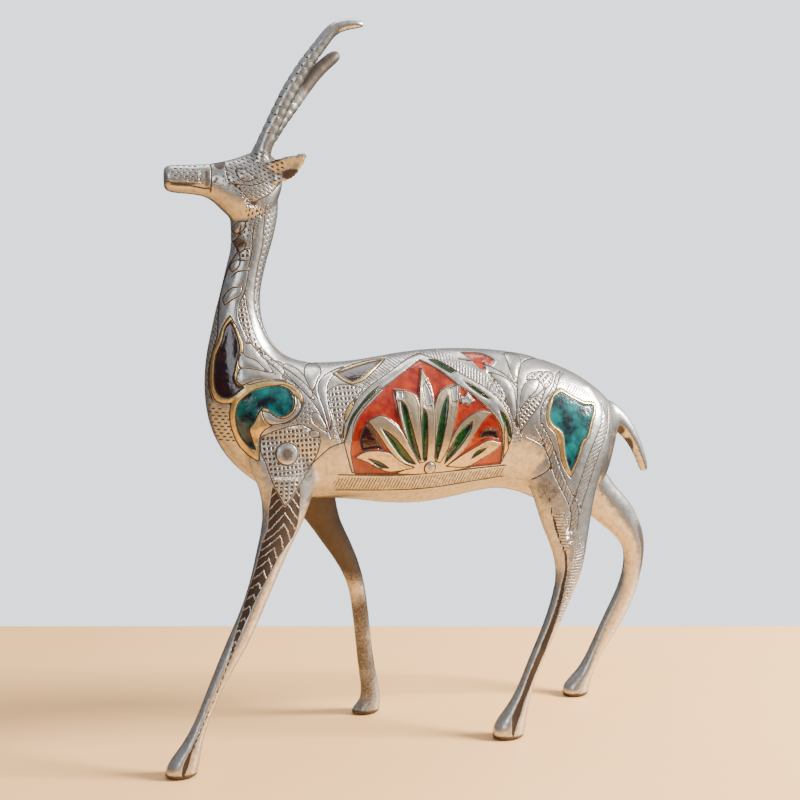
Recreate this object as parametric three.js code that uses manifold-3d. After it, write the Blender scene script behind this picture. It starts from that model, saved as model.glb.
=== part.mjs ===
// A deer figurine, cast in one piece in white metal: a tall slim stag that
// walks with its head up. Millimetres, +Z up, the head towards -X, the deer's
// left flank towards -Y, the soles of the four feet on Z = 0.
//
// Each part of the animal starts as a sphere whose rings are drawn out over a
// row of sections, and the parts are then joined into one solid.

import * as THREE from "three";
import { mergeVertices } from "three/addons/utils/BufferGeometryUtils.js";
import Module from "manifold-3d";

// Driving dimensions of the trunk
const BACK_HEIGHT = 168.6;
const BELLY_HEIGHT = 101.5;
const BARREL_HALF_WIDTH = 21;
const BREAST_X = -95.5;
const RUMP_X = 91.4;

// Driving dimensions of the neck and the head
const NECK_HALF_WIDTH = 7.6;
const CROWN_HEIGHT = 250.5;
const MUZZLE_X = -111;
const MUZZLE_HALF_WIDTH = 5.2;
const CHEEK_HALF_WIDTH = 9.6;

// Driving dimensions of the horns, the ears and the tail
const HORN_TOP = 302;
const HORN_RADIUS = 3.5;
const HORN_SPREAD = 9.5;
const EAR_HALF_THICKNESS = 1.9;
const EAR_HOLLOW = 1.3;
const TAIL_RADIUS = 3;

// Driving dimensions of the legs
const FORE_STANCE = 26.5;
const HIND_STANCE = 22.5;
const SHOULDER_OFFSET = 13.5;
const HIP_OFFSET = 13;
const CANNON_HALF_WIDTH = 3.2;
const HOOF_HALF_WIDTH = 5.4;
const SOLE_DEPTH = 2;

// How many sides and rings each part has
const TRUNK_SIDES = 36;
const TRUNK_RINGS = 50;
const HEAD_SIDES = 24;
const HEAD_RINGS = 20;
const LEG_SIDES = 14;
const LEG_RINGS = 28;
const HORN_SIDES = 12;
const HORN_RINGS = 20;
const EAR_SIDES = 12;
const EAR_RINGS = 9;
const TAIL_SIDES = 12;
const TAIL_RINGS = 14;

// How nearly square the sections are: 2 is an ellipse
const TRUNK_SQUARENESS = 2.12;
const HEAD_SQUARENESS = 2.3;

// The block below the ground, which cuts the soles flat
const GROUND_LENGTH = 400;
const GROUND_WIDTH = 200;
const GROUND_DEPTH = 40;

// Corners nearer to each other than this are one corner
const MERGE_DISTANCE = 1e-4;

const FULL_TURN = 2 * Math.PI;

// A level section: it lies flat at height z, from its front edge to its back edge.
function level(z, front, back, y, half) {
  return {
    centre: new THREE.Vector3((front + back) / 2, y, z),
    deep: new THREE.Vector3((back - front) / 2, 0, 0),
    across: new THREE.Vector3(0, half, 0),
  };
}

// A section between a point of the upper outline and a point of the lower one.
function spanning(topX, topZ, bottomX, bottomZ, half) {
  const top = new THREE.Vector3(topX, 0, topZ);
  const bottom = new THREE.Vector3(bottomX, 0, bottomZ);
  return {
    centre: top.clone().add(bottom).multiplyScalar(0.5),
    deep: top.clone().sub(bottom).multiplyScalar(0.5),
    across: new THREE.Vector3(0, half, 0),
  };
}

// An upright section: it stands across the animal at x, from its top to its bottom.
function upright(x, top, bottom, half) {
  return {
    centre: new THREE.Vector3(x, 0, (top + bottom) / 2),
    deep: new THREE.Vector3(0, 0, (top - bottom) / 2),
    across: new THREE.Vector3(0, half, 0),
  };
}

// A slanted section, square to a path that climbs at the angle given in degrees.
function slanted(x, y, z, climb, deepHalf, half) {
  const angle = THREE.MathUtils.degToRad(climb);
  return {
    centre: new THREE.Vector3(x, y, z),
    deep: new THREE.Vector3(-Math.sin(angle) * deepHalf, 0, Math.cos(angle) * deepHalf),
    across: new THREE.Vector3(0, half, 0),
  };
}

function smoothCurve(points) {
  return new THREE.CatmullRomCurve3(points, false, "catmullrom");
}

function roundedPower(value, power) {
  return Math.sign(value) * Math.abs(value) ** power;
}

// A closed form through a row of sections. Its section is an ellipse at
// squareness 2 and comes nearer to a rounded box as the squareness grows. The
// two poles lie in the middle of the first and of the last section, so that
// both ends are flat.
function drawnForm(sections, sides, rings, squareness = 2) {
  const centres = smoothCurve(sections.map((section) => section.centre));
  const deeps = smoothCurve(sections.map((section) => section.deep));
  const acrosses = smoothCurve(sections.map((section) => section.across));
  const travel = centres.getPoint(1).sub(centres.getPoint(0));
  const facing = deeps.getPoint(0.5).cross(acrosses.getPoint(0.5)).dot(travel);
  const side = facing > 0 ? -1 : 1;
  const power = 2 / squareness;
  const geometry = new THREE.SphereGeometry(1, sides, rings + 1);
  const position = geometry.attributes.position;
  for (let ring = 0; ring <= rings + 1; ring += 1) {
    const along = THREE.MathUtils.clamp((ring - 1) / (rings - 1), 0, 1);
    const isPole = ring === 0 || ring === rings + 1;
    const centre = centres.getPoint(along);
    const deep = deeps.getPoint(along);
    const across = acrosses.getPoint(along).multiplyScalar(side);
    for (let step = 0; step <= sides; step += 1) {
      const angle = (FULL_TURN * (step % sides)) / sides;
      const point = centre.clone();
      if (!isPole) {
        point.addScaledVector(deep, roundedPower(Math.cos(angle), power));
        point.addScaledVector(across, roundedPower(Math.sin(angle), power));
      }
      position.setXYZ(ring * (sides + 1) + step, point.x, point.y, point.z);
    }
  }
  return geometry;
}

// The neck and the trunk are one form: its sections lie nearly level in the
// neck, swing round at the breast and stand upright along the trunk.
function makeNeckAndTrunk() {
  const barrel = BARREL_HALF_WIDTH;
  const neck = NECK_HALF_WIDTH;
  const sections = [
    spanning(-66, 242, -78, 240, 5),
    spanning(-65, 236, -82, 232, neck - 0.2),
    spanning(-64.4, 226.5, -84.4, 222.5, neck - 0.1),
    spanning(-66.8, 215, -84.2, 211.5, neck - 0.5),
    spanning(-70.1, 204, -87.1, 201, neck - 0.5),
    spanning(-72.5, 192, -90, 189.5, neck),
    spanning(-71.7, 181.5, -92.6, 178, neck + 1.1),
    spanning(-68.2, 172.8, -95, 167, neck + 2.9),
    spanning(-63, 167.4, BREAST_X - 0.5, 154, neck + 5.3),
    spanning(-57.4, 164.8, BREAST_X + 1, 140.2, barrel - 5.6),
    spanning(-51.6, 163.7, BREAST_X + 6, 128, barrel - 3.4),
    spanning(-46, 163.5, -80.4, 117.4, barrel - 1.8),
    spanning(-40, 163.7, -67, 108.8, barrel - 0.7),
    spanning(-33, 164.2, -52, 106, barrel - 0.1),
    spanning(-24, 165.4, -36, 104.8, barrel),
    spanning(-13, 167.2, -20, BELLY_HEIGHT + 0.8, barrel - 0.1),
    spanning(0, BACK_HEIGHT, -3, BELLY_HEIGHT, barrel - 0.4),
    spanning(15, BACK_HEIGHT + 0.3, 13, BELLY_HEIGHT + 2.2, barrel - 0.7),
    spanning(30, BACK_HEIGHT - 0.5, 29, BELLY_HEIGHT + 5, barrel - 0.9),
    spanning(44, 166.2, 43, BELLY_HEIGHT + 2.8, barrel - 0.7),
    spanning(57, 162.4, 55, 99, barrel - 0.8),
    spanning(68, 157.8, 65.5, 99, barrel - 2.2),
    spanning(77, 152.4, 75, 101, barrel - 4.6),
    spanning(83.6, 147.2, 81.8, 105.5, barrel - 8.4),
    spanning(RUMP_X - 4, 143, RUMP_X - 6.2, 111, 8.4),
    spanning(RUMP_X - 1.4, 139, RUMP_X - 4, 117.5, 5.4),
    spanning(RUMP_X, 134.5, RUMP_X - 1.6, 125, 2.8),
  ];
  return drawnForm(sections, TRUNK_SIDES, TRUNK_RINGS, TRUNK_SQUARENESS);
}

function makeHead() {
  const sections = [
    upright(MUZZLE_X, 242.6, 235.4, MUZZLE_HALF_WIDTH - 1.6),
    upright(MUZZLE_X + 0.9, 243.8, 233.8, MUZZLE_HALF_WIDTH - 0.6),
    upright(MUZZLE_X + 5, 244.3, 232.9, MUZZLE_HALF_WIDTH - 0.2),
    upright(MUZZLE_X + 12, 244.6, 232.5, MUZZLE_HALF_WIDTH),
    upright(-92.5, 245.2, 230.8, MUZZLE_HALF_WIDTH + 0.9),
    upright(-87, 246.3, 225.6, 7.8),
    upright(-81, 248, 220.8, CHEEK_HALF_WIDTH - 0.4),
    upright(-75, CROWN_HEIGHT, 219, CHEEK_HALF_WIDTH),
    upright(-70, CROWN_HEIGHT, 221, 9),
    upright(-65.6, 247.8, 229, 7.2),
    upright(-63, 243.8, 235.5, 4),
  ];
  return drawnForm(sections, HEAD_SIDES, HEAD_RINGS, HEAD_SQUARENESS);
}

// The near horn sweeps back and ends in a long hook.
function makeNearHorn() {
  const sections = [
    slanted(-73, -4.5, 244, 68, 4, 4),
    slanted(-71.2, -5.2, 252, 66, 3.7, 3.6),
    slanted(-68, -5.8, 259.5, 63, HORN_RADIUS, HORN_RADIUS),
    slanted(-64.6, -6.6, 267, 61, HORN_RADIUS - 0.1, HORN_RADIUS - 0.1),
    slanted(-59.9, -7.3, 276.1, 57, HORN_RADIUS - 0.1, HORN_RADIUS - 0.3),
    slanted(-54.2, -8.1, 285.2, 55, HORN_RADIUS - 0.3, HORN_RADIUS - 0.4),
    slanted(-48, -8.8, 293.5, 50, HORN_RADIUS - 0.6, HORN_RADIUS - 0.6),
    slanted(-43, -HORN_SPREAD + 0.3, 299.7, 40, HORN_RADIUS - 0.8, HORN_RADIUS - 0.8),
    slanted(-37.4, -HORN_SPREAD, HORN_TOP, 16, 2.5, 2.6),
    slanted(-33, -HORN_SPREAD - 0.2, HORN_TOP + 0.4, -6, 2, 2.1),
    slanted(-30.2, -HORN_SPREAD - 0.3, HORN_TOP, -14, 1.2, 1.2),
  ];
  return drawnForm(sections, HORN_SIDES, HORN_RINGS);
}

// The far horn is straighter and ends blunt.
function makeFarHorn() {
  const sections = [
    slanted(-73, 4.5, 244, 68, 4, 4),
    slanted(-70.6, 5.2, 251, 64, 3.8, 3.6),
    slanted(-66.6, 5.9, 257.5, 58, HORN_RADIUS, HORN_RADIUS),
    slanted(-61.2, 6.6, 265.4, 55, HORN_RADIUS - 0.1, HORN_RADIUS - 0.1),
    slanted(-54.6, 7.4, 274.2, 52, HORN_RADIUS - 0.2, HORN_RADIUS - 0.3),
    slanted(-48.8, 8.2, 282, 50, HORN_RADIUS - 0.3, HORN_RADIUS - 0.4),
    slanted(-43.2, 8.9, 288, 46, HORN_RADIUS - 0.5, HORN_RADIUS - 0.6),
    slanted(-38.4, HORN_SPREAD, 292, 41, 2.8, 2.6),
    slanted(-36, HORN_SPREAD, 293.8, 39, 1.7, 1.6),
  ];
  return drawnForm(sections, HORN_SIDES, HORN_RINGS);
}

function makeEar(side, grow, shift) {
  const outward = side * shift;
  const sections = [
    slanted(-71, side * 6.5 + outward, 240.5, 26, 2.2 + grow, EAR_HALF_THICKNESS + grow),
    slanted(-68, side * 8.2 + outward, 241.6, 27, 4.6 + grow, EAR_HALF_THICKNESS + 0.3 + grow),
    slanted(-64, side * 10.4 + outward, 242.7, 29, 5.2 + grow, EAR_HALF_THICKNESS + grow),
    slanted(-60.2, side * 12.6 + outward, 244.8, 34, 4 + grow, EAR_HALF_THICKNESS - 0.2 + grow),
    slanted(-57.2, side * 14.4 + outward, 247.3, 39, 2 + grow, EAR_HALF_THICKNESS - 0.5 + grow),
    slanted(-55.8, side * 15.2 + outward, 248.8, 42, 0.9 + grow, 0.9 + grow),
  ];
  return drawnForm(sections, EAR_SIDES, EAR_RINGS);
}

function makeTail() {
  const sections = [
    slanted(80, 0, 138.6, 0, 7, 5),
    slanted(87, 0, 138, -14, 6.2, TAIL_RADIUS + 1.2),
    slanted(92.2, 0, 134.8, -36, 5, TAIL_RADIUS + 0.7),
    slanted(97, 0, 129.9, -50, 3.9, TAIL_RADIUS + 0.3),
    slanted(101, 0, 123.6, -62, 3.1, TAIL_RADIUS),
    slanted(103.7, 0, 117.6, -68, 2.6, TAIL_RADIUS - 0.3),
    slanted(105.4, 0, 112.6, -72, 2.2, TAIL_RADIUS - 0.8),
    slanted(105.8, 0, 110.8, -76, 1.2, 1.3),
  ];
  return drawnForm(sections, TAIL_SIDES, TAIL_RINGS);
}

// Each leg is a row of level sections from inside the trunk to under the sole.
function makeNearForeLeg() {
  const hoof = -FORE_STANCE;
  const sections = [
    level(146, -80, -54, -9, 4),
    level(134, -82, -49, -SHOULDER_OFFSET + 1.5, 6),
    level(121, -79.4, -50, -SHOULDER_OFFSET, 7),
    level(110, -75.8, -53.5, -SHOULDER_OFFSET - 1.5, 6.6),
    level(99, -75.6, -58, -16.5, 5.8),
    level(88, -78.2, -64.2, -18, 5),
    level(76, -81.3, -70.2, -19.6, 4.4),
    level(64, -85.7, -75.9, -21, 4),
    level(52, -91.6, -81.8, -22.4, 3.7),
    level(41, -96.6, -88.8, -23.6, CANNON_HALF_WIDTH + 0.1),
    level(31, -101, -94.8, -24.7, CANNON_HALF_WIDTH - 0.3),
    level(22, -105, -99, -25.6, CANNON_HALF_WIDTH),
    level(14, -109.6, -101.6, hoof + 0.2, CANNON_HALF_WIDTH + 0.8),
    level(7.5, -114.8, -102.8, hoof, HOOF_HALF_WIDTH - 0.6),
    level(2.5, -117.6, -103.8, hoof, HOOF_HALF_WIDTH),
    level(-SOLE_DEPTH, -116, -105, hoof, HOOF_HALF_WIDTH - 1.2),
  ];
  return drawnForm(sections, LEG_SIDES, LEG_RINGS);
}

function makeFarForeLeg() {
  const hoof = FORE_STANCE;
  const sections = [
    level(142, -82, -54, 9, 4),
    level(130, -81, -50, SHOULDER_OFFSET - 1.5, 6),
    level(117, -73, -43, SHOULDER_OFFSET, 7),
    level(105, -62, -37, SHOULDER_OFFSET + 1.8, 6.4),
    level(94, -51, -34.8, 17, 5.6),
    level(83, -43, -29.6, 18.6, 4.8),
    level(72, -35.2, -25, 20, 4.2),
    level(61, -29.9, -22, 21.4, 3.7),
    level(48, -27.5, -19.9, 22.8, CANNON_HALF_WIDTH + 0.1),
    level(34, -25.7, -18.1, 24.2, CANNON_HALF_WIDTH),
    level(21, -24.1, -16, 25.4, CANNON_HALF_WIDTH + 0.2),
    level(12, -22.7, -13.8, hoof - 0.2, CANNON_HALF_WIDTH + 1),
    level(6, -23.4, -13.2, hoof, HOOF_HALF_WIDTH - 0.8),
    level(1.5, -27.4, -13.8, hoof, HOOF_HALF_WIDTH - 0.2),
    level(-SOLE_DEPTH, -26, -15, hoof, HOOF_HALF_WIDTH - 1.4),
  ];
  return drawnForm(sections, LEG_SIDES, LEG_RINGS);
}

function makeNearHindLeg() {
  const hoof = -HIND_STANCE;
  const sections = [
    level(152, 50, 74, -8, 4),
    level(140, 45, 80.4, -HIP_OFFSET + 1.5, 6.5),
    level(126, 42.4, 82.6, -HIP_OFFSET, 7.8),
    level(113, 42, 77.2, -14.2, 7.6),
    level(102, 44.8, 73.6, -15.4, 6.8),
    level(91, 48.2, 71.2, -16.4, 5.8),
    level(80, 52.6, 68.8, -17.6, 5),
    level(69, 54.2, 65.8, -18.6, 4.3),
    level(57, 51, 59.6, -19.8, 3.8),
    level(45, 46.1, 53.4, -20.8, CANNON_HALF_WIDTH + 0.2),
    level(33, 40.2, 47, -21.6, CANNON_HALF_WIDTH),
    level(22, 35.3, 42.2, -22.2, CANNON_HALF_WIDTH + 0.2),
    level(14, 30.4, 40.2, hoof, CANNON_HALF_WIDTH + 1),
    level(8, 25.4, 39.1, hoof, HOOF_HALF_WIDTH - 0.4),
    level(3, 23.2, 38.4, hoof, HOOF_HALF_WIDTH + 0.2),
    level(-SOLE_DEPTH, 24.4, 37.2, hoof, HOOF_HALF_WIDTH - 1),
  ];
  return drawnForm(sections, LEG_SIDES, LEG_RINGS);
}

function makeFarHindLeg() {
  const hoof = HIND_STANCE;
  const sections = [
    level(152, 52, 76, 8, 4),
    level(140, 50, 84, HIP_OFFSET - 1.5, 6.5),
    level(126, 54, 86, HIP_OFFSET, 7.8),
    level(114, 62, 90.8, 14.4, 7.4),
    level(103, 72, 98.2, 15.6, 6.4),
    level(93, 80.4, 108, 16.6, 5.6),
    level(83, 93.2, 113.6, 17.6, 4.8),
    level(73, 104.6, 116.3, 18.6, 4.2),
    level(62, 105.9, 115.7, 19.6, 3.9),
    level(51, 103.2, 113.6, 20.6, 3.6),
    level(39, 97.4, 109.1, 21.4, 3.4),
    level(28, 92.4, 102.4, 22, CANNON_HALF_WIDTH),
    level(18.5, 88, 95.6, hoof - 0.2, CANNON_HALF_WIDTH + 0.2),
    level(11.5, 83.6, 92.2, hoof, CANNON_HALF_WIDTH + 1),
    level(6, 77.6, 90.5, hoof, HOOF_HALF_WIDTH - 0.6),
    level(2, 76.2, 89.6, hoof, HOOF_HALF_WIDTH),
    level(-SOLE_DEPTH, 78, 88.6, hoof, HOOF_HALF_WIDTH - 1.2),
  ];
  return drawnForm(sections, LEG_SIDES, LEG_RINGS);
}

// What is taken off below Z = 0, so that the four soles are flat.
function makeGroundBlock() {
  const block = new THREE.BoxGeometry(GROUND_LENGTH, GROUND_WIDTH, GROUND_DEPTH);
  block.translate(0, 0, -GROUND_DEPTH / 2);
  return block;
}

const wasm = await Module();
wasm.setup();

function asSolid(geometry) {
  geometry.deleteAttribute("normal");
  geometry.deleteAttribute("uv");
  const merged = mergeVertices(geometry, MERGE_DISTANCE);
  const corners = Array.from(merged.index.array);
  const kept = [];
  for (let start = 0; start < corners.length; start += 3) {
    const [a, b, c] = corners.slice(start, start + 3);
    if (a !== b && b !== c && c !== a) {
      kept.push(a, b, c);
    }
  }
  const mesh = new wasm.Mesh({
    numProp: 3,
    vertProperties: new Float32Array(merged.attributes.position.array),
    triVerts: new Uint32Array(kept),
  });
  return new wasm.Manifold(mesh);
}

function asGeometry(solid) {
  const mesh = solid.getMesh();
  const geometry = new THREE.BufferGeometry();
  geometry.setAttribute("position", new THREE.BufferAttribute(mesh.vertProperties, 3));
  geometry.setIndex(new THREE.BufferAttribute(mesh.triVerts, 1));
  geometry.computeVertexNormals();
  return geometry;
}

function makeDeer() {
  const joined = [
    makeNeckAndTrunk(),
    makeHead(),
    makeNearHorn(),
    makeFarHorn(),
    makeTail(),
    makeNearForeLeg(),
    makeFarForeLeg(),
    makeNearHindLeg(),
    makeFarHindLeg(),
  ];
  let solid = asSolid(joined[0]);
  for (const form of joined.slice(1)) {
    solid = solid.add(asSolid(form));
  }
  for (const side of [-1, 1]) {
    const ear = asSolid(makeEar(side, 0, 0));
    const hollow = asSolid(makeEar(side, -EAR_HOLLOW / 2, EAR_HOLLOW));
    solid = solid.add(ear.subtract(hollow));
  }
  return asGeometry(solid.subtract(asSolid(makeGroundBlock())));
}

const castMetal = new THREE.MeshStandardMaterial({
  color: 0xb9b6ae,
  roughness: 0.34,
  metalness: 0.9,
});

const deer = new THREE.Mesh(makeDeer(), castMetal);
deer.name = "deer";

// The origin is the middle of the figure's outer box, at the height of its soles.
const outerBox = new THREE.Box3().setFromObject(deer);
const middle = outerBox.getCenter(new THREE.Vector3());
deer.geometry.translate(-middle.x, -middle.y, -outerBox.min.z);

const group = new THREE.Group();
group.add(deer);

export default group;
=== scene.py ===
# %% [markdown]
# # A deer figurine in engraved and enamelled white metal
# The real figure is one casting in white metal, an aluminium alloy. The smith files it smooth, cuts
# leaves, borders and hatching into it with gravers, lets the cuts darken and fills the deepest cells
# with clear coloured enamel. This lesson dresses the solid casting in that work.
# The frame holds the casting at its real size.

import math

import bpy
import numpy as np
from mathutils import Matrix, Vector


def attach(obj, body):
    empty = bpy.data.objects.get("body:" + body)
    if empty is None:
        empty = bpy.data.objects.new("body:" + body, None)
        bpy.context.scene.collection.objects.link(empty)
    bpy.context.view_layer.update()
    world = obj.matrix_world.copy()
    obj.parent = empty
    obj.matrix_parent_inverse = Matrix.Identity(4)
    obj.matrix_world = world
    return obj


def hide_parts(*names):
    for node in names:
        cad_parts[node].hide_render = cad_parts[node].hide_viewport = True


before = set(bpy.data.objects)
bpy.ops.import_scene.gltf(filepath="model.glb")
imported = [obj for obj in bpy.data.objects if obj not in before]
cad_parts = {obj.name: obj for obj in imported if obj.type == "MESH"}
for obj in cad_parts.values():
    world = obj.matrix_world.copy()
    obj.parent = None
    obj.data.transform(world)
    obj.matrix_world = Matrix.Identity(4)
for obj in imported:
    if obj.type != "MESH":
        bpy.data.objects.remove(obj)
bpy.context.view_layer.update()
MM = 0.001

# %% [markdown]
# ## The skin of the casting
# The engraver's surface needs small, even faces that the solid doesn't have. Subdividing the solid
# alone would keep its long thin triangles and the hard seams where the legs meet the trunk. A voxel
# remesh lays one even net over everything. Smoothing then rounds the last facets: each round pulls
# the net in and pushes it out again by nearly as much, so that thin horns and legs keep their size.

# %% Lay an even net over the casting
SKIN_EDGE = 1.04 * MM
WELD_DISTANCE = 0.01 * MM
SMOOTHING_ROUNDS = 5
PULL_IN = 0.5
PUSH_OUT = -0.52

bpy.ops.object.select_all(action="DESELECT")
deer = bpy.data.objects.new("engraved_deer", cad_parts["deer"].data.copy())
bpy.context.scene.collection.objects.link(deer)
bpy.context.view_layer.objects.active = deer
deer.select_set(True)


def modify(kind, **settings):
    """Adds one modifier to the deer and applies it."""
    modifier = deer.modifiers.new(kind.lower(), kind)
    for name, value in settings.items():
        setattr(modifier, name, value)
    bpy.ops.object.modifier_apply(modifier=modifier.name)


bpy.ops.object.mode_set(mode="EDIT")
bpy.ops.mesh.select_all(action="SELECT")
bpy.ops.mesh.remove_doubles(threshold=WELD_DISTANCE)
bpy.ops.object.mode_set(mode="OBJECT")
modify("SUBSURF", levels=1, render_levels=1)
modify("REMESH", mode="VOXEL", voxel_size=SKIN_EDGE, adaptivity=0, use_smooth_shade=True)
for smoothing_round in range(SMOOTHING_ROUNDS):
    modify("SMOOTH", factor=PULL_IN, iterations=1)
    modify("SMOOTH", factor=PUSH_OUT, iterations=1)
print("faces in the net:", len(deer.data.polygons))

# %% [markdown]
# ## Drawing on the flanks
# The smith draws each leaf and cell on the flank as seen from the side, so the drawing lives in the
# plane of length x and height z, in millimetres, and both flanks carry it. An outline is written as a
# few points, "x z, x z". A smooth curve runs through them, and a star marks a sharp corner. The curve
# could be a Blender curve projected on the mesh, but a distance worked out for every vertex serves
# both the relief and the colours, and keeps edges crisp between the vertices.

# %% Curves and distances
REACH = 4.0
CURVE_STEPS = 6


def curve(text, closed=True):
    """A smooth curve through the points "x z, x z, ...". A star marks a sharp corner."""
    words = [word.split() for word in text.split(",")]
    points = np.array([[float(x), float(z.rstrip("*"))] for x, z in words])
    sharp = [z.endswith("*") for x, z in words]
    if not closed:
        sharp[0] = sharp[-1] = True
    count = len(points)
    share = np.linspace(0, 1, CURVE_STEPS, endpoint=False)[:, None]
    pieces = []
    for index in range(count if closed else count - 1):
        following = (index + 1) % count
        start = points[index]
        end = points[following]
        before = start if sharp[index] else points[index - 1]
        after = end if sharp[following] else points[(index + 2) % count]
        bend = 2 * before - 5 * start + 4 * end - after
        twist = 3 * start - before - 3 * end + after
        pieces.append(start + 0.5 * ((end - before) * share + bend * share**2 + twist * share**3))
    return np.concatenate(pieces if closed else pieces + [points[-1:]])


def beside(points, line, closed=False):
    """For each point: its distance from the line, which side it is on, and how far along it is."""
    starts = line if closed else line[:-1]
    ends = np.roll(line, -1, axis=0) if closed else line[1:]
    steps = ends - starts
    lengths = np.maximum(np.linalg.norm(steps, axis=1), 1e-6)
    offsets = points[:, None] - starts
    share = np.clip((offsets * steps).sum(2) / lengths**2, 0, 1)
    gaps = offsets - share[:, :, None] * steps
    distances = np.hypot(gaps[:, :, 0], gaps[:, :, 1])
    nearest = distances.argmin(1)
    rows = np.arange(len(points))
    crossed = steps[:, 0] * offsets[:, :, 1] - steps[:, 1] * offsets[:, :, 0]
    side = np.where(crossed[rows, nearest] < 0, -1.0, 1.0)
    travelled = np.concatenate([[0], np.cumsum(lengths)[:-1]])
    along = travelled[nearest] + share[rows, nearest] * lengths[nearest]
    return distances[rows, nearest], side, along


def inside(points, outline):
    """Distance from an outline, in mm: positive inside it and negative outside."""
    distance = beside(points, outline, closed=True)[0]
    ends = np.roll(outline, -1, axis=0)
    rises = (outline[:, 1] > points[:, 1:]) != (ends[:, 1] > points[:, 1:])
    climb = ends[:, 1] - outline[:, 1]
    climb[climb == 0] = 1e-9
    crossing = outline[:, 0] + (ends[:, 0] - outline[:, 0]) * (points[:, 1:] - outline[:, 1]) / climb
    odd = (rises & (points[:, :1] < crossing)).sum(1) % 2 == 1
    return np.where(odd, distance, -distance)


def ribbon(line, half_width):
    """The outline of a band that follows an open line."""
    heading = np.gradient(line, axis=0)
    heading /= np.linalg.norm(heading, axis=1)[:, None]
    normal = np.stack([-heading[:, 1], heading[:, 0]], axis=1)
    return np.concatenate([line + normal * half_width, (line - normal * half_width)[::-1]])


def circle(centre, radius):
    """A round outline."""
    turns = np.linspace(0, 2 * math.pi, 24, endpoint=False)
    return np.array(centre) + radius * np.stack([np.cos(turns), np.sin(turns)], axis=1)


def soft_step(value, low, high):
    """0 below low, 1 above high and a smooth rise between them."""
    share = np.clip((value - low) / (high - low), 0, 1)
    return share * share * (3 - 2 * share)


print("curve points in a leaf of four:", len(curve("0 0*, 2 1, 4 0*, 2 -1")))

# %% [markdown]
# ## The cells, the leaves and the borders
# Each flank carries an arched cell with a fan of petals, a flame, a comma and a triangular cell on the
# thigh, all for enamel, and between them scrolling leaves and patches of hatching. They are listed here
# in the order in which they are laid over each other, each with the finish it gets.

# %% The arched cell and its frame
FRAME_OUTLINE = (
    "-41.2 131.7, -40.8 139.5, -38.2 145.7, -30.4 153.2, -20 159.6, -10.8 164.7, -4.2 167.2*, 3.3 163.6,"
    "12.2 158.1, 21.1 152.7, 27.6 147.1, 31.4 141.1, 33.2 134.6, 32.4 128.7*, 29.6 120.4*, -37.2 118.4*"
)
ARCHED_CELL = (
    "-5.5 164.4*, -12.1 160.6, -19.7 155.6, -24.6 152.1, -31.2 146, -35.7 139.9, -37.7 132.6, -38.1 126.1,"
    "-35.8 117.7*, -14.6 116.9, 6.9 118.3, 29 119.4*, 28.9 128, 27.9 135.8, 23.8 141.9, 15.6 149.6,"
    "9.2 154, 2.2 159.9"
)
FRAME_INLAYS = (
    ("green", "-41.2 131.2*, -39 140, -35.5 145.1, -30.2 150.7, -25.5 154*, -30.4 148.6, -35.6 143.5,"
              "-38.4 138.9"),
    ("bright", "-33.5 146.1*, -24.9 153.4*, -23.6 152.4*, -32.2 144.7*"),
    ("green", "-1.6 164.6*, 3.1 163.5, 9.5 159.4*, 7 158.8, 2 161.8"),
    ("green", "12.2 155.2*, 18.1 151.9, 23.3 147.6*, 20.6 148.6, 15.3 152.2"),
    ("green", "27.1 143.4*, 30.2 140.1, 32.3 134.5, 32.7 130.2*, 30.7 133.5, 28.5 139"),
    ("gold", "-41 142.3*, -39.4 146, -35.3 149.6*, -37.8 144.6, -40.6 139.5*"),
    ("gold", "29.2 138.4*, 30.8 133.8, 32 126.4*, 29.9 121.8*, 29.7 130.4"),
)
PETALS = (
    ("petal", "-36.6 125*, -31.8 127.3, -25.8 127.3, -20.1 125.6, -10.4 119.6*, -16.6 118.5, -21.8 118.2,"
              "-27.1 120.5, -32 123.1"),
    ("petal", "28.6 128.8*, 22.3 130.1, 16.6 127.5, 11 124.4, 3.6 119.5*, 13 118.9, 19.4 121.9, 25.5 125.4"),
    ("petal_b", "-31 140*, -25.4 142, -21 139.7, -17.1 136.2, -13.7 130.7, -7.6 121.2*, -10.4 119.9*,"
                "-16.2 122.1, -22 127.6, -26.5 134.2"),
    ("petal_b", "23.6 142.1*, 17.5 142.6, 10.6 138.7, 6.5 133.4, 3.4 126.4, 0.4 121*, 3.4 119.4*,"
                "10.9 125.7, 14.7 131.1, 19.4 138"),
    ("petal", "-19 152.6*, -14.7 152.1, -10.5 150.6, -8.5 146.4, -7.7 135.9, -5.9 122*, -8.3 121.5*,"
              "-13.8 130.7, -17.3 140.5"),
    ("petal", "10 154.2*, 4.5 153.2, 0.1 150.2, -2 143.7, -2.2 135.7, -1.3 121.8*, 0.9 121.3*, 4.1 127.3,"
              "6.7 137.5, 8.7 146"),
    ("petal_b", "-5.7 161.4*, -4.5 157.8, -2.9 152, -2.1 145.8, -1.9 137.5, -1.7 122.8*, -4 122.4,"
                "-6.6 122.8*, -8.1 135.6, -8.4 146, -7.8 153"),
)
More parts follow.
